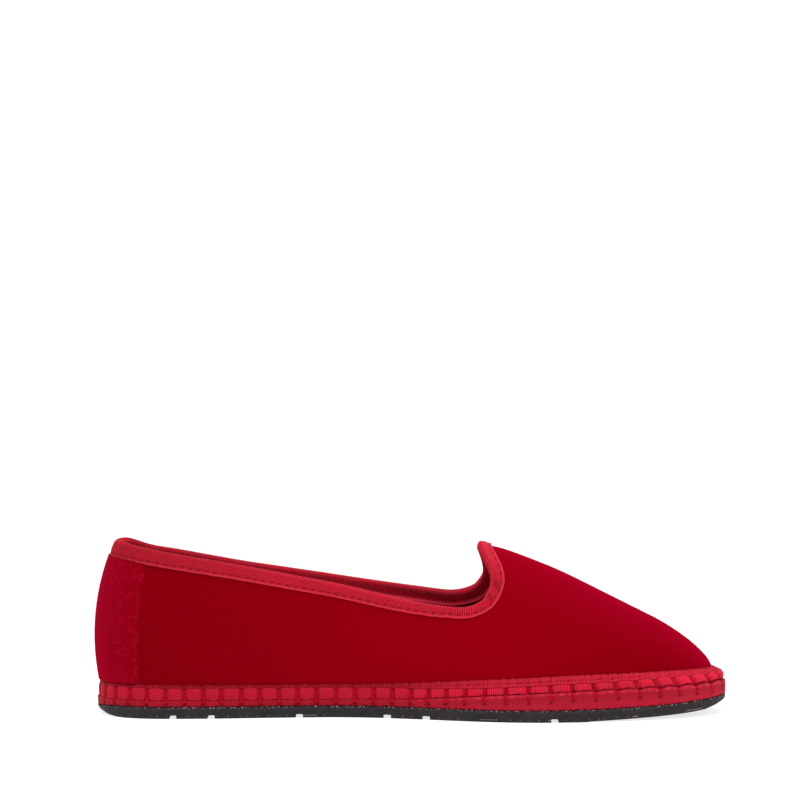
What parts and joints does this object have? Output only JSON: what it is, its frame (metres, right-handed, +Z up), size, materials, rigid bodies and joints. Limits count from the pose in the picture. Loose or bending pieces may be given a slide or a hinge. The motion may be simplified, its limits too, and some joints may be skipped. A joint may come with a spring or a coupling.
{
  "type": "slipper",
  "caption": "Low red velvet slipper for the left foot, with a ribbon-bound collar that rises to a point over the instep, a stitched ribbon edge and a black rubber sole.",
  "frame": {"origin": "under the middle of the slipper's bounding box, on the plane it stands on", "axes": "+X towards the toe, +Y towards the outer side of the left foot, +Z up"},
  "size_m": [0.2518, 0.0884, 0.0683],
  "materials": {
    "rubber": "matte black vulcanised rubber with pale flecks",
    "edge_ribbon": "ribbed grosgrain ribbon, red",
    "lining": "plain woven cotton, dark red",
    "velvet": "short-pile velvet, deep red",
    "heel_velvet": "short-pile velvet with a lighter nap",
    "ribbon": "ribbed grosgrain ribbon, red"
  },
  "bodies": {
    "root": {"outsole": "rubber", "sole_band": "edge_ribbon", "welt_ribbon": "edge_ribbon", "insole": "lining", "upper": "velvet", "heel_patch": "heel_velvet", "collar_ribbon": "ribbon"}
  },
  "joints": []
}
